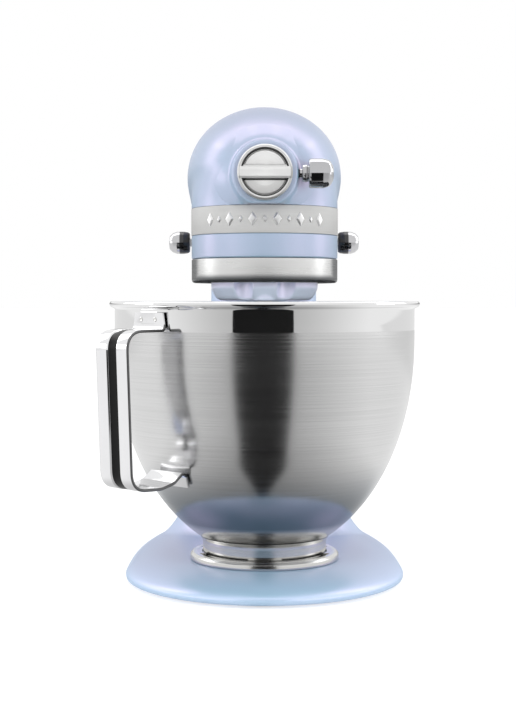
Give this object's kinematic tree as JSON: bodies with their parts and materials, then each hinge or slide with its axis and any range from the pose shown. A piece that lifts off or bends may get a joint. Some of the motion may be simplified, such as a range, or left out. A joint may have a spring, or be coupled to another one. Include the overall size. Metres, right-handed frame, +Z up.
{
  "type": "tilt-head stand mixer",
  "caption": "Tilt-head stand mixer: pearl-blue domed motor head on a column and base, steel bowl with strap handle, geared planetary beater drive.",
  "frame": {"origin": "middle of the footprint box, on the counter", "axes": "+Z up, -Y towards the bowl's front and the attachment hub, +X towards the speed control side"},
  "size_m": [0.2227, 0.3576, 0.3498],
  "materials": {
    "paint": "pearlescent enamel, clear coat",
    "satin_metal": "satin, fine brushed",
    "chrome": "polished",
    "bowl_steel": "satin brushed round the bowl",
    "polished_steel": "polished",
    "steel": "machined",
    "bronze": "machined",
    "copper": "varnished winding",
    "aluminium": "burnished",
    "rubber": "matt",
    "plastic": "moulded",
    "carbon": "pressed carbon",
    "board": "circuit board"
  },
  "bodies": {
    "pedestal": {"base_casting": "paint", "column_casting": "paint", "foot_front": "rubber", "foot_front_left": "rubber", "foot_front_right": "rubber", "foot_rear_left": "rubber", "foot_rear_right": "rubber", "bowl_clamp_plate": "polished_steel", "clamp_screw_1": "steel", "clamp_screw_2": "steel", "clamp_screw_3": "steel", "column_bolt_1": "steel", "column_bolt_2": "steel", "column_bolt_3": "steel", "column_bolt_4": "steel", "hinge_pin": "steel"},
    "head": {"motor_housing": "paint", "lower_gearcase": "paint", "end_cover": "paint", "end_cover_screw": "steel", "cord_gland": "rubber", "trim_band": "satin_metal", "drip_ring": "satin_metal", "internal_ring_gear": "steel", "centre_shaft_bush": "bronze", "hub_bearing": "bronze", "field_stator": "copper", "motor_front_bearing": "bronze", "motor_rear_bearing": "bronze", "brush_cap_left": "plastic", "brush_cap_right": "plastic", "brush_left": "carbon", "brush_right": "carbon", "control_board": "board"},
    "planetary": {"planetary_housing": "paint", "centre_shaft": "steel", "centre_gear": "steel", "bevel_ring_gear": "steel"},
    "beater": {"beater_shaft": "steel", "planet_pinion": "steel", "flat_beater": "aluminium"},
    "worm_gear": {"worm_wheel": "bronze", "wheel_pinion": "steel"},
    "hub_drive": {"hub_bevel_pinion": "steel", "hub_drive_shaft": "steel"},
    "motor": {"worm": "steel", "armature_shaft": "steel", "rotor_core": "steel", "commutator": "copper", "cooling_fan": "plastic"},
    "speed_control": {"speed_lever": "steel", "speed_knob": "chrome"},
    "head_lock": {"lock_lever": "steel", "lock_knob": "chrome"},
    "hub_cap": {"hub_cover": "satin_metal"},
    "thumbscrew": {"attachment_knob": "chrome"},
    "bowl": {"bowl_shell": "bowl_steel", "bowl_foot_ring": "polished_steel", "bowl_handle": "chrome"}
  },
  "joints": [
    {"name": "head_tilt", "type": "hinge", "parent": "pedestal", "child": "head", "pos_m": [0, 0.123, 0.2164], "axis": [-1, 0, 0], "range_deg": [0, 40]},
    {"name": "planetary_spin", "type": "hinge", "parent": "head", "child": "planetary", "pos_m": [0, -0.067, 0.231], "axis": [0, 0, 1], "continuous": true},
    {"name": "beater_spin", "type": "hinge", "parent": "planetary", "child": "beater", "pos_m": [0, -0.094, 0.231], "axis": [0, 0, 1], "continuous": true},
    {"name": "worm_gear_spin", "type": "hinge", "parent": "head", "child": "worm_gear", "pos_m": [0.026, -0.04357, 0.292], "axis": [0, 0, 1], "continuous": true},
    {"name": "hub_drive_spin", "type": "hinge", "parent": "head", "child": "hub_drive", "pos_m": [0, -0.067, 0.287], "axis": [0, 1, 0], "continuous": true},
    {"name": "motor_spin", "type": "hinge", "parent": "head", "child": "motor", "pos_m": [0, -0.067, 0.292], "axis": [0, 1, 0], "continuous": true},
    {"name": "speed_lever_swing", "type": "hinge", "parent": "head", "child": "speed_control", "pos_m": [-0.038, 0.04845, 0.247], "axis": [0, 0, 1], "range_deg": [0, 16]},
    {"name": "head_lock_slide", "type": "slide", "parent": "head", "child": "head_lock", "axis": [0, 1, 0], "range_m": [0, 0.01]},
    {"name": "hub_cover_pull", "type": "slide", "parent": "head", "child": "hub_cap", "axis": [0, -1, 0], "range_m": [0, 0.04]},
    {"name": "attachment_knob_screw", "type": "slide", "parent": "head", "child": "thumbscrew", "axis": [1, 0, 0], "range_m": [0, 0.008]},
    {"name": "bowl_twist", "type": "hinge", "parent": "pedestal", "child": "bowl", "pos_m": [0, -0.067, 0.02], "axis": [0, 0, 1], "range_deg": [0, 30]}
  ],
  "couplings": [
    {"joint": "beater_spin", "follows": "planetary_spin", "ratio": -3},
    {"joint": "worm_gear_spin", "follows": "planetary_spin", "ratio": -4},
    {"joint": "hub_drive_spin", "follows": "planetary_spin", "ratio": -3},
    {"joint": "motor_spin", "follows": "planetary_spin", "ratio": -40}
  ]
}
